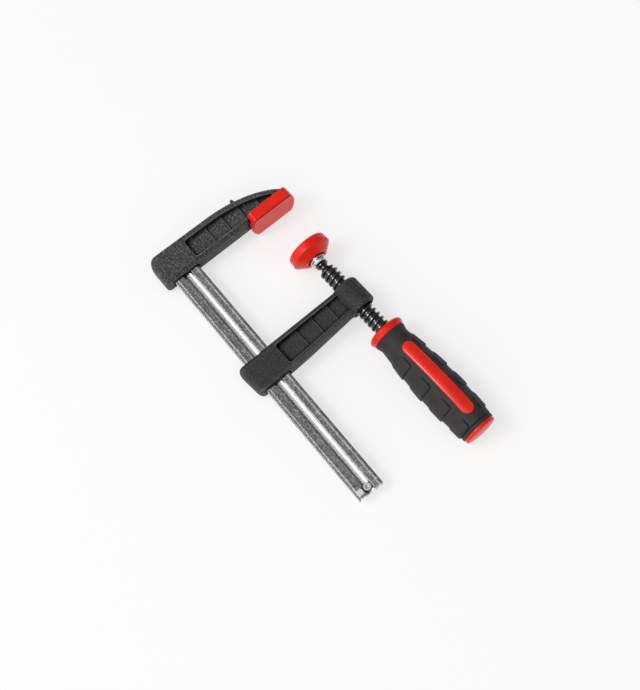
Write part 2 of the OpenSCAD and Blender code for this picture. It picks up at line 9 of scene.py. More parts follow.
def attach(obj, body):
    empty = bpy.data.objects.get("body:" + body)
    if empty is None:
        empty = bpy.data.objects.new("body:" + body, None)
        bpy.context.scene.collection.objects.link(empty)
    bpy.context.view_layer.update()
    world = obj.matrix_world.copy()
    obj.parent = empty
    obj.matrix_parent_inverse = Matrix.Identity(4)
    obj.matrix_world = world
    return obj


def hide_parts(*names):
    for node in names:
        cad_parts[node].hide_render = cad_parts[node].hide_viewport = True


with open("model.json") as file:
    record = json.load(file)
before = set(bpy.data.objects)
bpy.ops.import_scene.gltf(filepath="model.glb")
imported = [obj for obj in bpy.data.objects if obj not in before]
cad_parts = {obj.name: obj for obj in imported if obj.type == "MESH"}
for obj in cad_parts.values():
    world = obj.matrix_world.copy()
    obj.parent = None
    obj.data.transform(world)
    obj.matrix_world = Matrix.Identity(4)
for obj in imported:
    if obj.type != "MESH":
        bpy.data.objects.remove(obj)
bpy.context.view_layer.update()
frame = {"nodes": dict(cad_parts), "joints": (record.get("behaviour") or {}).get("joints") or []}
nodes = frame["nodes"]

# Shapes are drawn in mm, as in the part's source, and scaled to metres by MM
MM = 0.001

# ---------------------------------------------------------------- places that the frame gives
joints = {j["name"]: j for j in frame["joints"]}
screw_axis = Vector(joints["spindle_turn"]["axis"]).normalized()
ball = Vector(joints["spindle_turn"]["pos_m"])
cock = math.atan2(screw_axis.y, screw_axis.x)


def node_box(node):
    """The least and greatest X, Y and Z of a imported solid, in mm."""
    places = [v.co / MM for v in nodes[node].data.vertices]
    return [Vector([pick(p[i] for p in places) for i in range(3)]) for pick in (min, max)]


# ---------------------------------------------------------------- driving sizes, in mm and degrees
PAD_TILT = -2.0
HANDLE_TURN = -7.5
HANDLE_X = 51.2
HANDLE_LEN = 70.0

LEAD = 3.0
THREAD_START = 6.6
THREAD_PHASE = -0.45
THREAD_R = 4.72
ROOT_R = 3.45
NECK_R = 2.15
BALL_R = 3.3

# X runs along each of these: the screw from its ball, the pad from the ball, the handle from its collar
AT_BALL = Matrix.Translation(ball) @ Matrix.Rotation(cock, 4, "Z")
AT_PAD = AT_BALL @ Matrix.Rotation(math.radians(PAD_TILT), 4, "Z")
AT_COLLAR = AT_BALL @ Matrix.Translation((HANDLE_X * MM, 0, 0))
AT_HANDLE = AT_COLLAR @ Matrix.Rotation(math.radians(HANDLE_TURN), 4, "X")


# ---------------------------------------------------------------- mesh helpers
def finish_mesh(name, verts, faces, matrix, body, material, smooth=40, weld=1e-6):
    """An object of welded faces, turned outwards, drawn in mm and placed by matrix."""
    mesh = bpy.data.meshes.new(name)
    mesh.from_pydata([tuple(v) for v in verts], [], faces)
    bm = bmesh.new()
    bm.from_mesh(mesh)
    bmesh.ops.remove_doubles(bm, verts=bm.verts, dist=weld)
    bmesh.ops.dissolve_degenerate(bm, edges=bm.edges, dist=weld)
    bmesh.ops.recalc_face_normals(bm, faces=bm.faces)
    bm.transform(Matrix.Scale(MM, 4))
    bm.transform(matrix)
    bm.to_mesh(mesh)
    bm.free()
    obj = bpy.data.objects.new(name, mesh)
    bpy.context.scene.collection.objects.link(obj)
    mesh.materials.append(material)
    shade(obj, smooth)
    if body:
        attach(obj, body)
    return obj


def shade(obj, angle):
    """Smooth shading that keeps edges sharper than angle."""
    bpy.ops.object.select_all(action="DESELECT")
    obj.select_set(True)
    bpy.context.view_layer.objects.active = obj
    bpy.ops.object.shade_smooth_by_angle(angle=math.radians(angle))


def apply_modifiers(obj):
    dg = bpy.context.evaluated_depsgraph_get()
    done = bpy.data.meshes.new_from_object(obj.evaluated_get(dg))
    obj.modifiers.clear()
    old = obj.data
    obj.data = done
    done.name = old.name
    bpy.data.meshes.remove(old)


def round_profile(points, radius, steps=4):
    """Rounds the inner corners of an open (x, r) profile. radius has one number per point."""
    out = []
    for i, p in enumerate(points):
        p = Vector(p)
        if i in (0, len(points) - 1) or radius[i] <= 0:
            out.append(p)
            continue
        a = Vector(points[i - 1]) - p
        b = Vector(points[i + 1]) - p
        cut = min(radius[i], a.length * 0.45, b.length * 0.45)
        pa = p + a.normalized() * cut
        pb = p + b.normalized() * cut
        for k in range(steps + 1):
            t = k / steps
            out.append(pa * (1 - t) ** 2 + p * 2 * t * (1 - t) + pb * t ** 2)
    return out


def arc(radius, first, last, step):
    """Points (x, r) on a sphere's outline, by their angle from +X in degrees."""
    angles = [math.radians(a) for a in range(first, last, step)]
    return [(radius * math.cos(a), radius * math.sin(a)) for a in angles]


def lathe(name, profile, matrix, body, material, seg=96, smooth=40):
    """Turns an (x, r) profile about the X axis."""
    verts, faces, rings = [], [], []
    for x, r in profile:
        if r < 1e-5:
            rings.append([len(verts)])
            verts.append((x, 0, 0))
        else:
            rings.append(list(range(len(verts), len(verts) + seg)))
            for k in range(seg):
                a = 2 * math.pi * k / seg
                verts.append((x, r * math.cos(a), r * math.sin(a)))
    for a, b in zip(rings, rings[1:]):
        for k in range(seg):
            n = (k + 1) % seg
            if len(a) == 1 and len(b) == 1:
                continue
            if len(a) == 1:
                faces.append((a[0], b[k], b[n]))
            elif len(b) == 1:
                faces.append((a[k], b[0], a[n]))
            else:
                faces.append((a[k], b[k], b[n], a[n]))
    return finish_mesh(name, verts, faces, matrix, body, material, smooth)


# ---------------------------------------------------------------- material helpers
def new_material(name):
    mat = bpy.data.materials.new(name)
    mat.use_nodes = True
    tree = mat.node_tree
    bsdf = tree.nodes["Principled BSDF"]
    return mat, tree, bsdf


def texture(tree, kind, scale, stretch=(1, 1, 1), **settings):
    """A procedural texture in object space. scale is in features per metre."""
    coord = tree.nodes.new("ShaderNodeTexCoord")
    mapping = tree.nodes.new("ShaderNodeMapping")
    mapping.inputs["Scale"].default_value = stretch
    tree.links.new(coord.outputs["Object"], mapping.inputs["Vector"])
    tex = tree.nodes.new(kind)
    tree.links.new(mapping.outputs["Vector"], tex.inputs["Vector"])
    tex.inputs["Scale"].default_value = scale
    for key, value in settings.items():
        if key in tex.inputs:
            tex.inputs[key].default_value = value
        else:
            setattr(tex, key, value)
    return tex


def object_place(tree):
    """Object coordinates: the vector, and its X, Y and Z."""
    coord = tree.nodes.new("ShaderNodeTexCoord").outputs["Object"]
    place = tree.nodes.new("ShaderNodeSeparateXYZ")
    tree.links.new(coord, place.inputs["Vector"])
    return coord, place.outputs


def between(tree, source, low, high):
    """0 to 1 as source goes from low to high in mm, and level beyond them."""
    node = tree.nodes.new("ShaderNodeMapRange")
    node.inputs["From Min"].default_value = low * MM
    node.inputs["From Max"].default_value = high * MM
    tree.links.new(source, node.inputs["Value"])
    return node.outputs["Result"]


def maths(tree, operation, a, b):
    """A Math node whose second input may be a number."""
    node = tree.nodes.new("ShaderNodeMath")
    node.operation = operation
    tree.links.new(a, node.inputs[0])
    if hasattr(b, "is_output"):
        tree.links.new(b, node.inputs[1])
    else:
        node.inputs[1].default_value = b
    return node.outputs["Value"]


def ramp(tree, source, stops):
    node = tree.nodes.new("ShaderNodeValToRGB")
    while len(node.color_ramp.elements) < len(stops):
        node.color_ramp.elements.new(0.5)
    for element, (pos, value) in zip(node.color_ramp.elements, stops):
        element.position = pos
        colour = value if hasattr(value, "__len__") else (value,) * 3
        element.color = (*colour, 1)
    tree.links.new(source, node.inputs["Fac"])
    return node.outputs["Color"]


def bump(tree, bsdf, heights):
    """Stacks bump nodes: heights is a list of (socket, strength, distance in metres)."""
    last = None
    for socket, strength, distance in heights:
        node = tree.nodes.new("ShaderNodeBump")
        node.inputs["Strength"].default_value = strength
        node.inputs["Distance"].default_value = distance
        tree.links.new(socket, node.inputs["Height"])
        if last is not None:
            tree.links.new(last, node.inputs["Normal"])
        last = node.outputs["Normal"]
    tree.links.new(last, bsdf.inputs["Normal"])


def mixed(tree, factor, a, b, mode="MIX"):
    mix = tree.nodes.new("ShaderNodeMix")
    mix.data_type = "RGBA"
    mix.blend_type = mode
    mix.clamp_result = True
    for socket, value in (("Factor", factor), ("A", a), ("B", b)):
        if hasattr(value, "is_output"):
            tree.links.new(value, mix.inputs[socket])
        elif socket == "Factor":
            mix.inputs[socket].default_value = value
        else:
            mix.inputs[socket].default_value = (*value, 1)
    return mix.outputs["Result"]


def product(tree, first, *others):
    """Colours multiplied with one another."""
    for other in others:
        first = mixed(tree, 1.0, first, other, "MULTIPLY")
    return first


def corners(tree, distance, low, stops=(0.5, 0.92)):
    """Painted shade in narrow corners and gaps: low in a corner, 1 in the open."""
    node = tree.nodes.new("ShaderNodeAmbientOcclusion")
    node.samples = 8
    node.inputs["Distance"].default_value = distance * MM
    return ramp(tree, node.outputs["AO"], [(stops[0], low), (stops[1], 1.0)])


# ---------------------------------------------------------------- coat of the castings
def cast_material(name, tone=0.9, highlight_specks=0.06):
    """Textured black coat, with painted highlights on its edges and wrinkle specks, and painted shade in its
    corners.
    """
    mat, tree, bsdf = new_material(name)
    grain = texture(tree, "ShaderNodeTexNoise", 1500, Detail=3.0, Roughness=0.6)
    pebble = texture(tree, "ShaderNodeTexVoronoi", 1150, feature="SMOOTH_F1", Smoothness=0.6)
    broad = texture(tree, "ShaderNodeTexNoise", 140, Detail=2.0)
    wrinkle = texture(tree, "ShaderNodeTexNoise", 1800, Detail=2.0, Roughness=0.7, Distortion=0.8)
    # Pointiness is 0.5 on a flat face, more on an edge and less in a corner
    shape = tree.nodes.new("ShaderNodeNewGeometry").outputs["Pointiness"]
    coat = ramp(tree, pebble.outputs["Distance"], [(0.1, 0.036 * tone), (0.6, 0.016 * tone)])
    # Bright specks from the wrinkle texture: partly the coat's grain, partly painted highlights on the
    # wrinkles' crests
    speck_highlight = ramp(tree, wrinkle.outputs["Fac"], [(0.52, 0.0), (0.68, highlight_specks)])
    # Painted highlight along convex edges
    edge_highlight = ramp(tree, shape, [(0.507, 0.0), (0.535, 0.11)])
    coat = mixed(tree, 1.0, mixed(tree, 1.0, coat, speck_highlight, "ADD"), edge_highlight, "ADD")
    # Painted shade in concave corners and gaps, on the colour and the specular
    shade_in = product(tree, ramp(tree, shape, [(0.465, 0.12), (0.494, 1.0)]), corners(tree, 3.0, 0.08))
    rough = ramp(tree, broad.outputs["Fac"], [(0.3, 0.52), (0.7, 0.66)])
    tree.links.new(product(tree, coat, shade_in), bsdf.inputs["Base Color"])
    tree.links.new(product(tree, shade_in, (0.4, 0.4, 0.4)), bsdf.inputs["Specular IOR Level"])
    tree.links.new(rough, bsdf.inputs["Roughness"])
    bump(tree, bsdf, [(pebble.outputs["Distance"], 0.5, 0.0003), (wrinkle.outputs["Fac"], 0.6, 0.0004),
                      (grain.outputs["Fac"], 0.4, 0.00015)])
    return mat


# ---------------------------------------------------------------- zinc of the rail
# Places across the rail are counted from its toothed edge
(_, edge_y, _), (rail_end, back_y, rail_top) = node_box("rail")
RAIL_WIDTH = back_y - edge_y
# Each stop is a place across the rail and how bright it is there. The bright rolled corners, the groove's
# lip and its bright wall are painted highlights; the groove's shaded wall and the dark back edge are painted
# shade.
RAIL_LIGHT_STOPS = [
    (0.0, 0.604), (1.3, 0.5),                                    # toothed edge
    (1.45, 1.0), (1.85, 1.0),                                    # rolled corner
    (2.0, 0.26), (4.6, 0.33),                                    # land
    (4.9, 0.6), (5.5, 0.3), (6.6, 0.36),                         # lip and shaded wall of the groove
    (7.5, 0.95), (8.3, 1.0), (10.2, 1.0),                        # bright wall of the groove
    (10.6, 0.34), (12.8, 0.38),                                  # land
    (12.95, 1.0), (13.4, 1.0),                                   # rolled corner
    (13.55, 0.36), (14.5, 0.3), (14.7, 0.18)]                    # back edge
GROOVE_FROM, GROOVE_TO = (7.0, 8.2), (10.3, 10.0)
TOOTH_PITCH, TOOTH_SHIFT, TOOTH_BAND = 1.2, 5.5, (1.05, 0.8)
MARK_FROM_END, MARK_LOW, MARK_HIGH, MARK_DEPTH = (-4.9, -4.7), (0.8, 1.0), (4.5, 4.3), (-0.08, -0.2)
# Tones by how far they lie outside the pin
PIN_RIM = [(0.0, 0.10), (0.36, 0.14), (0.56, 1.0)]
PIN_REACH = 4.0


def across(tree, place, low, high):
    """0 to 1 between two places across the rail."""
    return between(tree, place["Y"], edge_y + low, edge_y + high)


def rail_light_bands(tree, place):
    """Dull lands, with a painted highlight along each rolled corner and painted highlight and shade on the
    walls of a hollow groove.
    """
    stops = [(at / RAIL_WIDTH, (v, v, v * 1.02)) for at, v in RAIL_LIGHT_STOPS]
    return ramp(tree, across(tree, place, 0.0, RAIL_WIDTH), stops)


def rail_teeth(tree, place):
    """Painted shade in each notch of the toothed edge and a painted highlight on each tip."""
    half = TOOTH_PITCH / 2
    along = maths(tree, "ADD", place["X"], TOOTH_SHIFT * MM)
    notch = maths(tree, "PINGPONG", along, half * MM)
    tooth_light = ramp(tree, between(tree, notch, 0.0, half), [(0.35, 1.5), (0.65, 0.08)])
    return mixed(tree, across(tree, place, *TOOTH_BAND), (1, 1, 1), tooth_light)


def rail_struck_mark(tree, place):
    """1 on the struck mark beside the pin, which takes a painted highlight."""
    inside = between(tree, place["X"], *(rail_end + x for x in MARK_FROM_END))
    inside = maths(tree, "MULTIPLY", inside, across(tree, place, *MARK_HIGH))
    inside = maths(tree, "MULTIPLY", inside, across(tree, place, *MARK_LOW))
    return maths(tree, "MULTIPLY", inside, between(tree, place["Z"], *(rail_top + z for z in MARK_DEPTH)))


def rail_pin_rim(tree, coord):
    """The pin's hole has a dark rim."""
    low, high = node_box("stop_pin")
    middle, pin_r = (low + high) / 2, (high.x - low.x) / 2
    flat = tree.nodes.new("ShaderNodeVectorMath")
    flat.operation = "MULTIPLY"
    flat.inputs[1].default_value = (1, 1, 0)
    tree.links.new(coord, flat.inputs[0])
    from_pin = tree.nodes.new("ShaderNodeVectorMath")
    from_pin.operation = "DISTANCE"
    tree.links.new(flat.outputs["Vector"], from_pin.inputs[0])
    from_pin.inputs[1].default_value = (middle.x * MM, middle.y * MM, 0)
    reach = between(tree, from_pin.outputs["Value"], 0.0, PIN_REACH)
    return ramp(tree, reach, [((pin_r + past) / PIN_REACH, tone) for past, tone in PIN_RIM])


def rail_material():
    """Rolled and plated: granular lands and a smoother groove."""
    mat, tree, bsdf = new_material("zinc_plated_rail")
    bsdf.inputs["Metallic"].default_value = 1.0
    streak = texture(tree, "ShaderNodeTexNoise", 900, (0.05, 1, 1), Detail=4.0, Roughness=0.65)
    spangle = texture(tree, "ShaderNodeTexNoise", 1400, Detail=2.0, Roughness=0.7)
    blotch = texture(tree, "ShaderNodeTexNoise", 160, Detail=3.0)
    coord, place = object_place(tree)
    land = rail_light_bands(tree, place)
    grain = ramp(tree, spangle.outputs["Fac"], [(0.36, 0.5), (0.56, 1.0), (0.66, 2.0)])
    cloud = ramp(tree, blotch.outputs["Fac"], [(0.35, 0.88), (0.65, 1.06)])
    line = ramp(tree, streak.outputs["Fac"], [(0.35, 0.88), (0.65, 1.08)])
    # Painted shade in corners and, from rail_teeth, in the tooth notches, with painted highlights on the
    # tooth tips
    base = product(tree, land, grain, cloud, line, corners(tree, 1.0, 0.12), rail_teeth(tree, place))
    # The struck mark beside the pin is painted white as a highlight
    base = mixed(tree, rail_struck_mark(tree, place), base, (1.0, 1.0, 1.0))
    # The groove keeps its painted highlight and shade with less grain than the lands, and painted shade in
    # its corners
    groove = product(tree, land, corners(tree, 0.8, 0.2))
    share = maths(tree, "MULTIPLY", across(tree, place, *GROOVE_FROM), 0.65)
    share = maths(tree, "MULTIPLY", share, across(tree, place, *GROOVE_TO))
    base = product(tree, mixed(tree, share, base, groove), rail_pin_rim(tree, coord))
    rough = ramp(tree, streak.outputs["Fac"], [(0.3, 0.16), (0.7, 0.30)])
    tree.links.new(base, bsdf.inputs["Base Color"])
    tree.links.new(rough, bsdf.inputs["Roughness"])
    bump(tree, bsdf, [(streak.outputs["Fac"], 0.1, 0.00008), (spangle.outputs["Fac"], 0.35, 0.0001)])
    return mat


# ---------------------------------------------------------------- other materials
def zinc_material(name, tint, rough, corner=(0.15, 0.15, 0.15)):
    """Bright zinc plate with painted shade in its corners, tinted by the colour corner."""
    mat, tree, bsdf = new_material(name)
    bsdf.inputs["Metallic"].default_value = 1.0
    fine = texture(tree, "ShaderNodeTexNoise", 1400, Detail=3.0)
    plate = ramp(tree, fine.outputs["Fac"], [(0.3, tint * 0.85), (0.7, (tint, tint, tint * 1.02))])
    sheen = ramp(tree, fine.outputs["Fac"], [(0.3, rough * 0.8), (0.7, rough * 1.3)])
    tree.links.new(product(tree, plate, corners(tree, 2.5, corner)), bsdf.inputs["Base Color"])
    tree.links.new(sheen, bsdf.inputs["Roughness"])
    bump(tree, bsdf, [(fine.outputs["Fac"], 0.15, 0.00005)])
    return mat


def black_steel_material():
    """Blackened steel with a thin film of oil."""
    mat, tree, bsdf = new_material("black_oxide_steel")
    bsdf.inputs["Metallic"].default_value = 0.2
    bsdf.inputs["Coat Weight"].default_value = 0.35
    bsdf.inputs["Coat Roughness"].default_value = 0.05
    fine = texture(tree, "ShaderNodeTexNoise", 1600, Detail=4.0)
    worn = texture(tree, "ShaderNodeTexNoise", 420, Detail=3.0)
    tone = ramp(tree, worn.outputs["Fac"], [(0.35, (0.008, 0.007, 0.008)), (0.72, (0.024, 0.023, 0.025))])
    sheen = ramp(tree, fine.outputs["Fac"], [(0.3, 0.08), (0.7, 0.17)])
    tree.links.new(tone, bsdf.inputs["Base Color"])
    # Painted shade: the specular fades in the thread's valleys and other corners
    tree.links.new(corners(tree, 3.0, 0.05), bsdf.inputs["Specular IOR Level"])
    tree.links.new(sheen, bsdf.inputs["Roughness"])
    bump(tree, bsdf, [(worn.outputs["Fac"], 0.5, 0.0002), (fine.outputs["Fac"], 0.3, 0.00006)])
    return mat


def parting_line(tree, low, high, dark=0.25, fade=0.1, margin=0.5):
    """A fine dark line between two places along X in mm."""
    reach = high - low + 2 * margin
    edge, clear = margin / reach, (margin - fade) / reach
    x = object_place(tree)[1]["X"]
    along = between(tree, x, low - margin, high + margin)
    return ramp(tree, along, [(clear, 1.0), (edge, dark), (1 - edge, dark), (1 - clear, 1.0)])


def red_material(name, rough=0.3, shine=0.35, parting=None):
    """Moulded red plastic, with a parting line where parting gives its two places."""
    mat, tree, bsdf = new_material(name)
    bsdf.inputs["Specular IOR Level"].default_value = shine
    broad = texture(tree, "ShaderNodeTexNoise", 90, Detail=2.0)
    fine = texture(tree, "ShaderNodeTexNoise", 1300, Detail=3.0)
    base = ramp(tree, broad.outputs["Fac"], [(0.35, (0.80, 0.011, 0.002)), (0.7, (0.92, 0.017, 0.004))])
    if parting:
        base = product(tree, base, parting_line(tree, *parting))
    sheen = ramp(tree, fine.outputs["Fac"], [(0.3, rough * 0.85), (0.7, rough * 1.25)])
    tree.links.new(base, bsdf.inputs["Base Color"])
    tree.links.new(sheen, bsdf.inputs["Roughness"])
    bump(tree, bsdf, [(fine.outputs["Fac"], 0.12, 0.00006), (broad.outputs["Fac"], 0.1, 0.0003)])
    return mat


def grip_material():
    """Soft matt rubber with painted shade in its creases and corners."""
    mat, tree, bsdf = new_material("soft_black_grip")
    fine = texture(tree, "ShaderNodeTexNoise", 2200, Detail=3.0)
    broad = texture(tree, "ShaderNodeTexNoise", 110, Detail=3.0)
    tone = ramp(tree, broad.outputs["Fac"], [(0.3, (0.024, 0.022, 0.021)), (0.7, (0.036, 0.034, 0.033))])
    shape = tree.nodes.new("ShaderNodeNewGeometry").outputs["Pointiness"]
    # Painted shade in concave creases and narrow gaps, on the colour and the specular
    crease_shade = product(tree, ramp(tree, shape, [(0.46, 0.1), (0.49, 1.0)]), corners(tree, 0.7, 0.05))
    matt = ramp(tree, fine.outputs["Fac"], [(0.3, 0.55), (0.7, 0.72)])
    tree.links.new(product(tree, tone, crease_shade), bsdf.inputs["Base Color"])
    tree.links.new(product(tree, crease_shade, (0.35, 0.35, 0.35)), bsdf.inputs["Specular IOR Level"])
    tree.links.new(matt, bsdf.inputs["Roughness"])
    bump(tree, bsdf, [(fine.outputs["Fac"], 0.3, 0.00006)])
    return mat


JAW_PARTING = (-0.52, -0.24)
CAST = cast_material("black_textured_coat")
# The fixed arm's coat is lighter, with stronger painted highlight specks
ARM_CAST = cast_material("black_textured_coat_fixed_arm", tone=1.2, highlight_specks=0.21)
RAIL = rail_material()
PIN = zinc_material("zinc_pin", tint=0.95, rough=0.16)
# The socket's corners are tinted red: painted reflection of the red pad cap, as well as painted shade
SOCKET = zinc_material("zinc_socket", tint=0.80, rough=0.09, corner=(0.42, 0.05, 0.05))
BLACK_STEEL = black_steel_material()
RED = red_material("red_gloss_plastic")
JAW_RED = red_material("red_jaw_plastic", parting=JAW_PARTING)
INLAY_RED = red_material("red_gloss_inlay", rough=0.24, shine=0.55)
GRIP = grip_material()


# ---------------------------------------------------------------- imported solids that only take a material
def set_material(node, material):
    obj = nodes[node]
    obj.data.materials.clear()
    obj.data.materials.append(material)


set_material("rail", RAIL)
set_material("stop_pin", PIN)
set_material("neck_ring", BLACK_STEEL)


# ---------------------------------------------------------------- castings and jaw cap: softened copies
def soften(node, name, body, material, voxel, rounds, factor=0.5):
    """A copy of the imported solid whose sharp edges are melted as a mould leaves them."""
    source = nodes[node]
    mesh = source.data.copy()
    bm = bmesh.new()
    bm.from_mesh(mesh)
    bmesh.ops.remove_doubles(bm, verts=bm.verts, dist=1e-6)
    bm.to_mesh(mesh)
    bm.free()
    mesh.name = name
    obj = bpy.data.objects.new(name, mesh)
    bpy.context.scene.collection.objects.link(obj)
    remesh = obj.modifiers.new("remesh", "REMESH")
    remesh.mode = "VOXEL"
    remesh.voxel_size = voxel * MM
    smooth = obj.modifiers.new("smooth", "SMOOTH")
    smooth.factor = factor
    smooth.iterations = rounds
    apply_modifiers(obj)
    # No vertex may leave the solid's own box
    low, high = [corner * MM for corner in node_box(node)]
    for vertex in obj.data.vertices:
        vertex.co = [min(max(vertex.co[i], low[i]), high[i]) for i in range(3)]
    obj.data.materials.clear()
    obj.data.materials.append(material)
    obj.data.polygons.foreach_set("use_smooth", [True] * len(obj.data.polygons))
    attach(obj, body)
    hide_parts(node)
    return obj


soften("fixed_arm", "fixed_arm_casting", "frame", ARM_CAST, voxel=0.24, rounds=3)
soften("sliding_arm", "sliding_arm_casting", "slider", CAST, voxel=0.24, rounds=3)
soften("jaw_cap", "jaw_cap_moulding", "frame", JAW_RED, voxel=0.2, rounds=4)

# ---------------------------------------------------------------- screw
THREAD_TUCK = 4.2
THREAD_LEAD_IN = 1.0
NECK_SLOPE, ROOT_SLOPE, ROOT_DELAY = 1.35, 0.8, 0.2
NECK_FROM, NECK_TO, NECK_TIP = 2.9, THREAD_START - 0.6, THREAD_START - 0.2
TAIL_R, TAIL_FROM, TAIL_TO, TAIL_TIP, TAIL_TIP_R = 3.95, 3.6, 37.0, 37.8, 3.2


def thread_profile(p):
    """Radius at phase p of a turn, from 0 to 1: a rounded trapezoid."""
    d = abs(p - 0.5) * 2
    crest, foot = 0.30, 0.62
    if d <= crest:
        return THREAD_R
    if d >= foot:
        return ROOT_R
    t = (d - crest) / (foot - crest)
    return THREAD_R + (ROOT_R - THREAD_R) * (3 * t * t - 2 * t ** 3)


def make_thread():
    """Rings across the screw, each sheared by the lead, that grow out of the neck."""
    start = THREAD_START - THREAD_LEAD_IN
    end = HANDLE_X + THREAD_TUCK
    per_turn, seg = 24, 64
    step = LEAD / per_turn
    rows = int((end - THREAD_START) / step) + per_turn + 2

    def radius(x, r):
        if x >= end:
            return ROOT_R
        neck_limit = NECK_R + (x - start) * NECK_SLOPE
        root_limit = ROOT_R + (x - start - ROOT_DELAY) * ROOT_SLOPE
        return max(NECK_R, min(r, neck_limit, root_limit))

    verts, faces, grid = [], [], []
    for i in range(-per_turn, rows):
        row = []
        r = thread_profile((i % per_turn) / per_turn)
        for j in range(seg + 1):
            a = 2 * math.pi * j / seg
            x = start + THREAD_PHASE + i * step + LEAD * a / (2 * math.pi)
            x = min(max(x, start), end)
            rr = radius(x, r)
            row.append(len(verts))
            verts.append((x, rr * math.cos(a), rr * math.sin(a)))
        grid.append(row)
    for a, b in zip(grid, grid[1:]):
        for k in range(seg):
            faces.append((a[k], b[k], b[k + 1], a[k + 1]))
    return finish_mesh("spindle_thread", verts, faces, AT_BALL, "screw", BLACK_STEEL, smooth=35, weld=2e-3)


def make_ball_and_neck():
    profile = arc(BALL_R, 180, 44, -9) + [(NECK_FROM, NECK_R), (NECK_TO, NECK_R), (NECK_TIP, 0)]
    return lathe("spindle_ball_and_neck", profile, AT_BALL, "screw", BLACK_STEEL, 64)


def make_tail():
    profile = [(TAIL_FROM, 0), (TAIL_FROM, TAIL_R), (TAIL_TO, TAIL_R), (TAIL_TIP, TAIL_TIP_R), (TAIL_TIP, 0)]
    profile = [(HANDLE_X + x, r) for x, r in profile]
    return lathe("spindle_tail", profile, AT_BALL, "screw", BLACK_STEEL, 48)


thread = make_thread()
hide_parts("spindle")
neck = make_ball_and_neck()
tail = make_tail()

# ---------------------------------------------------------------- pad, in mm from the ball
DISC_BACK, DISC_FRONT, DISC_R = -7.58, -5.62, 9.15
BARREL_FROM, BARREL_R = -4.85, 4.58
RING_FROM, RING_TO, RING_R, RING_SIDE = 0.05, 0.65, 4.2, 0.15
LIP_TO, LIP_R = 1.2, 4.5
MOUTH_AT, MOUTH_R, MOUTH_BORE, MOUTH_IN = 2.3, 3.85, 2.8, 1.9
SEAT_R = 3.38
CAP_FACE, CAP_FACE_R = -9.8, 11.38
CAP_RIM, CAP_RIM_R, CAP_EDGE, CAP_EDGE_R = -5.15, 11.73, -4.72, 11.35
CAP_CONE, CAP_CONE_R, CAP_TOP, CAP_TOP_R = -1.7, 7.4, -1.2, 6.9
CAP_BORE, CAP_BORE_IN, POCKET_R, POCKET_TOP, POCKET_FLOOR = 5.3, -4.9, 9.3, -5.5, -7.7


def make_socket():
    """A disc under the cap and a barrel with a turned ring, a lip and a round seat for the ball."""
    outside = [(DISC_BACK, 0), (DISC_BACK, DISC_R), (DISC_FRONT, DISC_R), (BARREL_FROM, BARREL_R),
               (RING_FROM, BARREL_R), (RING_FROM + RING_SIDE, RING_R), (RING_TO - RING_SIDE, RING_R),
               (RING_TO, LIP_R), (LIP_TO, LIP_R),
               (MOUTH_AT, MOUTH_R), (MOUTH_AT, MOUTH_BORE), (MOUTH_IN, MOUTH_BORE)]
    rounding = [0, 0.35, 0.35, 0.35, 0.1, 0.08, 0.08, 0.15, 0.35, 0.35, 0.3, 0]
    profile = round_profile(outside, rounding) + arc(SEAT_R, 57, 181, 9) + [(-SEAT_R, 0)]
    return lathe("pad_socket_turned", profile, AT_PAD, "pad", SOCKET, 96)


def make_pad_cap():
    """A bevelled round cap whose pocket holds the socket's disc."""
    outline = [(CAP_FACE, 0), (CAP_FACE, CAP_FACE_R), (CAP_RIM, CAP_RIM_R), (CAP_EDGE, CAP_EDGE_R),
               (CAP_CONE, CAP_CONE_R), (CAP_TOP, CAP_TOP_R), (CAP_TOP, CAP_BORE), (CAP_BORE_IN, CAP_BORE),
               (POCKET_TOP, POCKET_R), (POCKET_FLOOR, POCKET_R), (POCKET_FLOOR, 0)]
    rounding = [0, 0.6, 0.3, 0.3, 0.4, 0.3, 0.3, 0.2, 0.1, 0.1, 0]
    return lathe("pad_cap_moulding", round_profile(outline, rounding, 5), AT_PAD, "pad", RED, 128)


socket = make_socket()
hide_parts("pad_socket")
pad = make_pad_cap()
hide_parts("pad_cap")

# ---------------------------------------------------------------- handle, in mm from its collar's end
COLLAR_LEN, NECK_AT, BELLY_AT = 4.2, 8.2, 43.0
NECK_D, ROOT_D, BELLY_D, END_D = 17.0, 18.8, 21.9, 19.2
INLAY_AT, INLAY_LEN, INLAY_W = 13.6, 49.2, 7.5
INLAY_RISE = 0.33
BLOCKS, BLOCK_H, BLOCK_LEN, BLOCK_PITCH = 4, 0.74, 10.0, 14.5
BLOCK_SLANT, BLOCK_CLEAR = 2.3, 2.9
BLOCK_FRONT, BLOCK_REAR = 2.4, 0.3
# The blocks end this many degrees short of the inlays' middle, and fall off over BLOCK_SIDE degrees
BLOCK_ANG, BLOCK_SIDE = 36.0, 1.5
RAIL_SIDE, FAR_SIDE = 15.4, 10.4
GRIP_BORE = 7.05
LINE_FROM_END, LINE_DEPTH, LINE_WIDTH = 2.1, 0.35, 0.28
REAR_ROUND, REAR_ROUND_LEN, FRONT_ROUND, FRONT_ROUND_LEN = 0.25, 0.5, 0.2, 0.3
WINDOW_GAP, WINDOW_REACH = 0.12, 12.0


def ease(t):
    t = min(max(t, 0.0), 1.0)
    return t * t * (3 - 2 * t)


def grip_r(x):
    """Radius between the blocks: down to the neck, up to the belly and down to the end."""
    if x < NECK_AT:
        fall = (1 + math.cos(math.pi * (x - COLLAR_LEN) / (NECK_AT - COLLAR_LEN))) / 2
        return (NECK_D + (ROOT_D - NECK_D) * fall) / 2
    if x < BELLY_AT:
        swell = math.sin(math.pi / 2 * (x - NECK_AT) / (BELLY_AT - NECK_AT))
        return (NECK_D + (BELLY_D - NECK_D) * swell) / 2
    taper = 1 - math.cos(math.pi / 2 * (x - BELLY_AT) / (HANDLE_LEN - BELLY_AT))
    return (BELLY_D - (BELLY_D - END_D) * taper) / 2


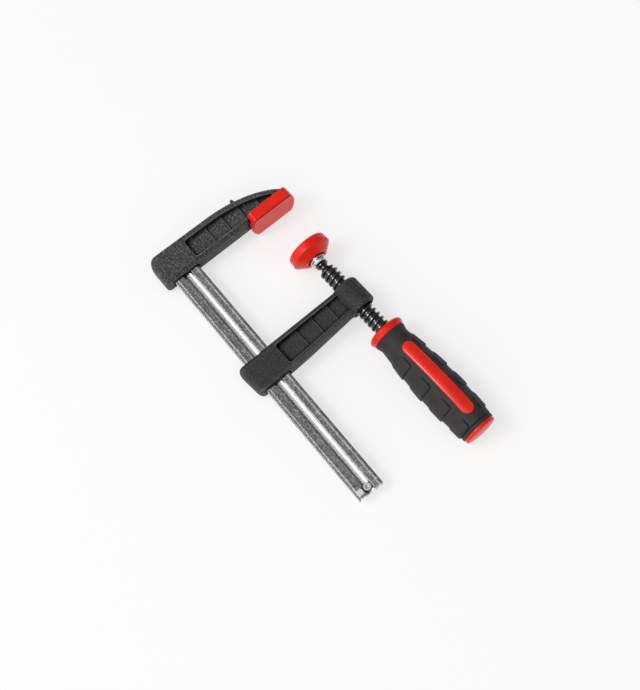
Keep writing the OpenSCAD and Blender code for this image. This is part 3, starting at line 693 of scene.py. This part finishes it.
def block_height(x, a):
    """Raised shingles: steep at the rear and towards the inlay, fading at the front."""
    total = 0.0
    reach = 90 - BLOCK_ANG
    for side, first in ((math.pi, RAIL_SIDE), (0.0, FAR_SIDE)):
        d = math.degrees(abs(math.remainder(a - side, 2 * math.pi)))
        if d > reach + 3:
            continue
        slant = max(0.0, math.sin(math.radians(min(d, reach))) / math.sin(math.radians(reach)) - 0.5) * 2
        for i in range(BLOCKS):
            x0 = first + i * BLOCK_PITCH + BLOCK_SLANT * slant
            x1 = min(first + i * BLOCK_PITCH + BLOCK_LEN, HANDLE_LEN - BLOCK_CLEAR)
            if x0 - 1 < x < x1 + 1:
                front = ease((x - x0 + 0.1) / BLOCK_FRONT)
                rear = ease((x1 + 0.15 - x) / BLOCK_REAR)
                flank = ease((reach + 0.9 - d) / BLOCK_SIDE)
                lift = 0.75 + 0.25 * ease((x - x0) / (x1 - x0))
                total = max(total, front * rear * flank * lift)
    return total * BLOCK_H


def grip_surface(x, a):
    """Radius of the grip with its blocks, the line round its end and its rounded ends."""
    line = LINE_DEPTH * math.exp(-((x - (HANDLE_LEN - LINE_FROM_END)) / LINE_WIDTH) ** 2)
    rear = REAR_ROUND * ease((x - HANDLE_LEN + REAR_ROUND_LEN) / REAR_ROUND_LEN)
    front = FRONT_ROUND * ease((COLLAR_LEN + FRONT_ROUND_LEN - x) / FRONT_ROUND_LEN)
    return grip_r(x) + block_height(x, a) - line - (rear + front)


def make_grip():
    """The moulded grip, with a window for each inlay."""
    seg, step = 240, 0.25
    count = int(round((HANDLE_LEN - COLLAR_LEN) / step))
    outside = [COLLAR_LEN + (HANDLE_LEN - COLLAR_LEN) * i / count for i in range(count + 1)]
    profile = [(COLLAR_LEN, True)] + [(x, False) for x in outside] + [(HANDLE_LEN, True)]
    verts, faces, rings = [], [], []
    for x, in_bore in profile:
        ring = []
        for k in range(seg):
            a = 2 * math.pi * k / seg
            r = GRIP_BORE if in_bore else grip_surface(x, a)
            ring.append(len(verts))
            verts.append((x, r * math.cos(a), r * math.sin(a)))
        rings.append(ring)
    rings.append(rings[0])
    for a, b in zip(rings, rings[1:]):
        for k in range(seg):
            m = (k + 1) % seg
            faces.append((a[k], b[k], b[m], a[m]))
    grip = finish_mesh("grip_moulding", verts, faces, Matrix.Identity(4), None, GRIP, 50)
    cutter = stadium_prism("cutter", WINDOW_GAP, -WINDOW_REACH, WINDOW_REACH)
    cut = grip.modifiers.new("windows", "BOOLEAN")
    cut.operation = "DIFFERENCE"
    cut.solver = "EXACT"
    cut.object = cutter
    bpy.context.view_layer.update()
    apply_modifiers(grip)
    bpy.data.objects.remove(cutter)
    grip.data.transform(AT_HANDLE)
    shade(grip, 40)
    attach(grip, "screw")
    return grip


def stadium(inset, round_steps=20, straight_steps=60):
    """Outline of an inlay in (x, y), anticlockwise."""
    r = INLAY_W / 2 - inset
    x0, x1 = INLAY_AT + INLAY_W / 2, INLAY_AT + INLAY_LEN - INLAY_W / 2
    turns = [math.pi * (k / round_steps - 0.5) for k in range(round_steps + 1)]
    shares = [k / straight_steps for k in range(1, straight_steps)]
    pts = [(x1 + r * math.cos(t), r * math.sin(t)) for t in turns]
    pts += [(x1 + (x0 - x1) * share, r) for share in shares]
    pts += [(x0 - r * math.cos(t), -r * math.sin(t)) for t in turns]
    pts += [(x0 + (x1 - x0) * share, -r) for share in shares]
    return pts


def stadium_prism(name, gap, z0, z1):
    pts = stadium(-gap)
    n = len(pts)
    verts = [(x, y, z0) for x, y in pts] + [(x, y, z1) for x, y in pts]
    faces = [tuple(range(n))[::-1], tuple(range(n, 2 * n))]
    faces += [(k, (k + 1) % n, n + (k + 1) % n, n + k) for k in range(n)]
    return finish_mesh(name, verts, faces, Matrix.Identity(4), None, GRIP, 30)


def make_inlay(name, sign):
    """A domed red strip that shows through the grip."""
    # How far each ring lies in from the outline and under the inlay's crown
    dome = [(0.0, 3.2), (0.0, 0.6), (0.12, 0.4), (0.35, 0.27), (0.7, 0.17), (1.2, 0.09), (1.8, 0.04),
            (2.5, 0.01), (3.2, 0.0), (3.75, 0.0)]
    verts, faces, rings = [], [], []
    for inset, sink in dome:
        ring = []
        for x, y in stadium(inset):
            r = grip_r(x) + INLAY_RISE - sink
            ring.append(len(verts))
            verts.append((x, y, sign * math.sqrt(r * r - y * y)))
        rings.append(ring)
    n = len(rings[0])
    for a, b in zip(rings, rings[1:]):
        for k in range(n):
            m = (k + 1) % n
            faces.append((a[k], a[m], b[m], b[k]))
    faces.append(tuple(rings[-1]))
    faces.append(tuple(rings[0][::-1]))
    return finish_mesh(name, verts, faces, AT_HANDLE, "screw", INLAY_RED, 50)


SCREW_BORE, TAIL_BORE = 4.85, 4.1
COLLAR_FACE_R, COLLAR_R, COLLAR_CREST, COLLAR_REAR_R = 9.2, 10.4, 1.3, 9.35
CORE_R, CORE_END = 6.98, 69.95
STEP_AT, TAIL_BORE_END, STEM_BORE_FROM = 5.4, 38.4, 62.7
STEM_FROM, STEM_R, STEM_TO = 63.0, 4.0, 70.0
END_R, END_EDGE_R, END_SIDE, END_CROWN, END_DOME = 9.18, 9.1, 71.3, 71.58, 1.1


def make_core():
    """The red core: its collar, the rod inside the grip and the bores at both ends."""
    outside = [(0, SCREW_BORE), (0, COLLAR_FACE_R), (COLLAR_CREST, COLLAR_R), (COLLAR_LEN, COLLAR_REAR_R),
               (COLLAR_LEN + 0.05, CORE_R), (CORE_END, CORE_R)]
    profile = round_profile(outside, [0, 0.9, 1.2, 0.2, 0, 0], 6)
    profile += [(CORE_END, TAIL_BORE), (STEM_BORE_FROM, TAIL_BORE), (STEM_BORE_FROM, 0), (TAIL_BORE_END, 0),
                (TAIL_BORE_END, TAIL_BORE), (STEP_AT, TAIL_BORE), (STEP_AT, SCREW_BORE), (0, SCREW_BORE)]
    return lathe("handle_core_and_collar", profile, AT_HANDLE, "screw", RED, 128)


def make_end_cap():
    """A low dome on a stem that sits in the core."""
    profile = [(STEM_FROM, 0), (STEM_FROM, STEM_R), (STEM_TO, STEM_R), (STEM_TO, END_EDGE_R),
               (STEM_TO + 0.15, END_R), (END_SIDE, END_R)]
    angles = [math.radians(a) for a in range(10, 91, 8)]
    profile += [(END_CROWN + END_DOME * math.sin(a), END_R * math.cos(a)) for a in angles]
    return lathe("end_cap_moulding", profile, AT_HANDLE, "screw", RED, 128, 50)


grip = make_grip()
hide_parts("handle_grip")
core = make_core()
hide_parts("handle_core")
for name, sign in (("inlay_upper", 1), ("inlay_lower", -1)):
    inlay = make_inlay(name, sign)
end_cap = make_end_cap()
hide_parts("handle_end_cap")

# ---------------------------------------------------------------- camera, fitted to the photograph
# The fit has a frame of its own, in mm: X to the picture's right, Y away from the viewer, Z up
FIT_SCALE = 1.033
LOOK_DOWN = 1.23625420
PART_TURN = 0.885513664
PART_TILT = math.radians(3.0)
FOCAL_PX, PICTURE_PX = 1300.94805, 640
SENSOR_MM = 36
DISTANCE = 642.832672 * FIT_SCALE
SHIFT = Vector((-20.8459769 * FIT_SCALE, 72.2756618 * FIT_SCALE, 0))
NUDGE = Vector((0, -0.85, 0))

tilt_c, tilt_s = math.cos(PART_TILT), math.sin(PART_TILT)
turn_c, turn_s = math.cos(PART_TURN), math.sin(PART_TURN)
to_fit = Matrix(((turn_c, tilt_c * turn_s, -tilt_s * turn_s),
                 (-turn_s, tilt_c * turn_c, -tilt_s * turn_c),
                 (0, tilt_s, tilt_c)))
to_part = to_fit.transposed()
origin = SHIFT + to_fit @ NUDGE
forward = Vector((0, math.cos(LOOK_DOWN), -math.sin(LOOK_DOWN)))
up = Vector((0, math.sin(LOOK_DOWN), math.cos(LOOK_DOWN)))


def make_camera():
    camera = bpy.data.objects.new("camera", bpy.data.cameras.new("camera"))
    bpy.context.scene.collection.objects.link(camera)
    axes = [to_part @ v for v in (Vector((1, 0, 0)), up, -forward)]
    place = to_part @ (-forward * DISTANCE - origin) * MM
    camera.matrix_world = Matrix.Translation(place) @ Matrix(axes).transposed().to_4x4()
    camera.data.sensor_fit = "HORIZONTAL"
    camera.data.sensor_width = SENSOR_MM
    camera.data.lens = SENSOR_MM * FOCAL_PX / PICTURE_PX
    camera.data.clip_start = 0.01
    camera.data.clip_end = 20
    return camera


bpy.context.scene.camera = make_camera()

# ---------------------------------------------------------------- floor that the clamp lies on
FLOOR_Z = -12.1
FLOOR_SLOPE_X, FLOOR_SLOPE_Y = 0.0075, -0.0794
FLOOR_HALF_M = 8.0
FLOOR_WHITE, FLOOR_SHADOW_SHARE = 1.12, 0.45


def floor_material():
    """Seen directly or mirrored, the floor is a near-white sweep with faint shadows."""
    mat = bpy.data.materials.new("pale_floor")
    mat.use_nodes = True
    tree = mat.node_tree
    tree.nodes.clear()
    out = tree.nodes.new("ShaderNodeOutputMaterial")
    diffuse = tree.nodes.new("ShaderNodeBsdfDiffuse")
    diffuse.inputs["Color"].default_value = (0.93, 0.93, 0.935, 1)
    white = tree.nodes.new("ShaderNodeEmission")
    white.inputs["Color"].default_value = (1, 1, 1, 1)
    white.inputs["Strength"].default_value = FLOOR_WHITE
    pale = tree.nodes.new("ShaderNodeMixShader")
    pale.inputs["Fac"].default_value = FLOOR_SHADOW_SHARE
    tree.links.new(white.outputs["Emission"], pale.inputs[1])
    tree.links.new(diffuse.outputs["BSDF"], pale.inputs[2])
    path = tree.nodes.new("ShaderNodeLightPath")
    seen = path.outputs["Is Camera Ray"]
    for ray in ("Is Glossy Ray", "Is Transmission Ray"):
        seen = maths(tree, "MAXIMUM", seen, path.outputs[ray])
    choose = tree.nodes.new("ShaderNodeMixShader")
    tree.links.new(seen, choose.inputs["Fac"])
    tree.links.new(diffuse.outputs["BSDF"], choose.inputs[1])
    tree.links.new(pale.outputs["Shader"], choose.inputs[2])
    tree.links.new(choose.outputs["Shader"], out.inputs["Surface"])
    return mat


def make_floor():
    half = FLOOR_HALF_M
    mesh = bpy.data.meshes.new("floor")
    corners_xy = [(-half, -half), (half, -half), (half, half), (-half, half)]
    mesh.from_pydata([(x, y, 0) for x, y in corners_xy], [], [(0, 1, 2, 3)])
    mesh.materials.append(floor_material())
    floor = bpy.data.objects.new("floor", mesh)
    bpy.context.scene.collection.objects.link(floor)
    normal = Vector((-FLOOR_SLOPE_X, -FLOOR_SLOPE_Y, 1)).normalized()
    turn = Vector((0, 0, 1)).rotation_difference(normal).to_matrix().to_4x4()
    floor.matrix_world = Matrix.Translation((0, 0, FLOOR_Z * MM)) @ turn
    return floor


floor = make_floor()

# ---------------------------------------------------------------- light
TENT_SIDE = (-0.05, -0.75, 0.66)
TENT_STOPS = [(0.0, 0.30), (0.50, 0.30), (0.68, 1.0)]
LIT_PLACE = (0.05, -0.03, 0)


def studio_world():
    """A light tent that is bright on the rail's side and overhead, and dim on the far side."""
    world = bpy.data.worlds.new("studio")
    world.use_nodes = True
    tree = world.node_tree
    background = tree.nodes["Background"]
    background.inputs["Strength"].default_value = 1.0
    sky = tree.nodes.new("ShaderNodeTexCoord")
    side = tree.nodes.new("ShaderNodeVectorMath")
    side.operation = "DOT_PRODUCT"
    side.inputs[1].default_value = Vector(TENT_SIDE).normalized()
    tree.links.new(sky.outputs["Generated"], side.inputs[0])
    tree.links.new(ramp(tree, side.outputs["Value"], TENT_STOPS), background.inputs["Color"])
    return world


def area_light(name, direction, distance, size, power):
    """A square lamp that shines on the clamp. distance and size are in metres, power in watts."""
    data = bpy.data.lights.new(name, "AREA")
    data.shape = "SQUARE"
    data.size = size
    data.energy = power
    obj = bpy.data.objects.new(name, data)
    bpy.context.scene.collection.objects.link(obj)
    target = Vector(LIT_PLACE)
    place = target + Vector(direction).normalized() * distance
    aim = (target - place).to_track_quat("-Z", "Y").to_matrix().to_4x4()
    obj.matrix_world = Matrix.Translation(place) @ aim
    return obj


bpy.context.scene.world = studio_world()
# The fit's own directions in the part's frame
right = to_part @ Vector((1, 0, 0))
away = to_part @ Vector((0, 1, 0))
high = to_part @ Vector((0, 0, 1))
area_light("key", (-0.21, -0.50, 0.84), distance=1.6, size=0.45, power=7)
area_light("fill", 0.75 * right - 0.6 * away + 0.8 * high, distance=1.6, size=1.2, power=2)

bpy.context.scene.view_settings.view_transform = "Standard"
